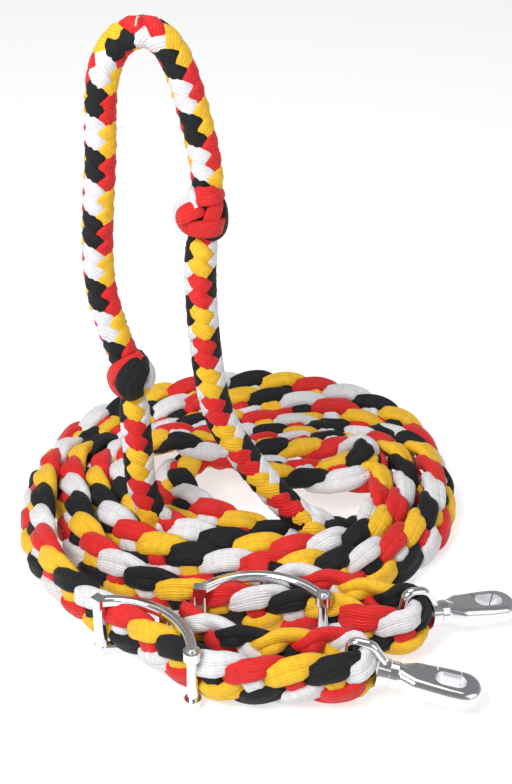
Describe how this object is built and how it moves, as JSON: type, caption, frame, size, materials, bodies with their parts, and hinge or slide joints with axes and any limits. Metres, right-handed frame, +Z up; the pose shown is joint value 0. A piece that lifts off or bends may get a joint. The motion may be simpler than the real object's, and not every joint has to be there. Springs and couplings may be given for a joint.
{
  "type": "braided rein",
  "caption": "Braided rope rein with a round knotted grip, flat braided ends doubled through swivel trigger snaps and slide buckles, stored as a loose coil.",
  "frame": {"origin": "on the underside of the coil, in front of its open middle", "axes": "+Z up from the surface it lies on, +X to the right along the two ends, +Y away from the front"},
  "size_m": [0.2527, 0.2641, 0.2887],
  "materials": {
    "braid": "soft flat nylon cord in red, yellow, white and black",
    "cast_metal": "polished nickel or chrome plate on cast zinc",
    "bar_metal": "polished plated steel",
    "spring_steel": "bright spring wire"
  },
  "bodies": {
    "rein": {"coil": "braid", "left_leg": "braid", "right_leg": "braid", "grip": "braid", "lower_knot": "braid", "upper_knot": "braid", "strap_a": "braid", "tail_a": "braid", "buckle_frame_a": "cast_metal", "buckle_centre_bar_a": "bar_metal", "buckle_end_rod_a": "bar_metal", "strap_b": "braid", "tail_b": "braid", "buckle_frame_b": "cast_metal", "buckle_centre_bar_b": "bar_metal", "buckle_end_rod_b": "bar_metal"},
    "eye_a": {"swivel_eye_a": "cast_metal"},
    "hook_a": {"hook_a": "cast_metal", "rivet_a": "bar_metal", "trigger_spring_a": "spring_steel"},
    "trigger_a": {"trigger_a": "cast_metal"},
    "eye_b": {"swivel_eye_b": "cast_metal"},
    "hook_b": {"hook_b": "cast_metal", "rivet_b": "bar_metal", "trigger_spring_b": "spring_steel"},
    "trigger_b": {"trigger_b": "cast_metal"}
  },
  "joints": [
    {"name": "eye_swing_a", "type": "hinge", "parent": "rein", "child": "eye_a", "pos_m": [0.0665, -0.0805, 0.0186], "axis": [0.1769, 0.0715, 0.9816], "range_deg": [-18, 18]},
    {"name": "swivel_a", "type": "hinge", "parent": "eye_a", "child": "hook_a", "pos_m": [0.08925, -0.07131, 0.01383], "axis": [0.9101, 0.3677, -0.1908], "continuous": true},
    {"name": "trigger_open_a", "type": "hinge", "parent": "hook_a", "child": "trigger_a", "pos_m": [0.09882, -0.06485, 0.01163], "axis": [0.1769, 0.0715, 0.9816], "range_deg": [-26, 0], "stiffness_Nm_per_rad": 0.02, "springref_deg": 22.92},
    {"name": "eye_swing_b", "type": "hinge", "parent": "rein", "child": "eye_b", "pos_m": [0.0386, -0.1141, 0.0186], "axis": [0.1366, -0.0266, 0.9903], "range_deg": [-18, 18]},
    {"name": "swivel_b", "type": "hinge", "parent": "eye_b", "child": "hook_b", "pos_m": [0.0629, -0.11882, 0.01512], "axis": [0.9721, -0.189, -0.1392], "continuous": true},
    {"name": "trigger_open_b", "type": "hinge", "parent": "hook_b", "child": "trigger_b", "pos_m": [0.07454, -0.11864, 0.01352], "axis": [0.1366, -0.0266, 0.9903], "range_deg": [-26, 0], "stiffness_Nm_per_rad": 0.02, "springref_deg": 22.92}
  ]
}
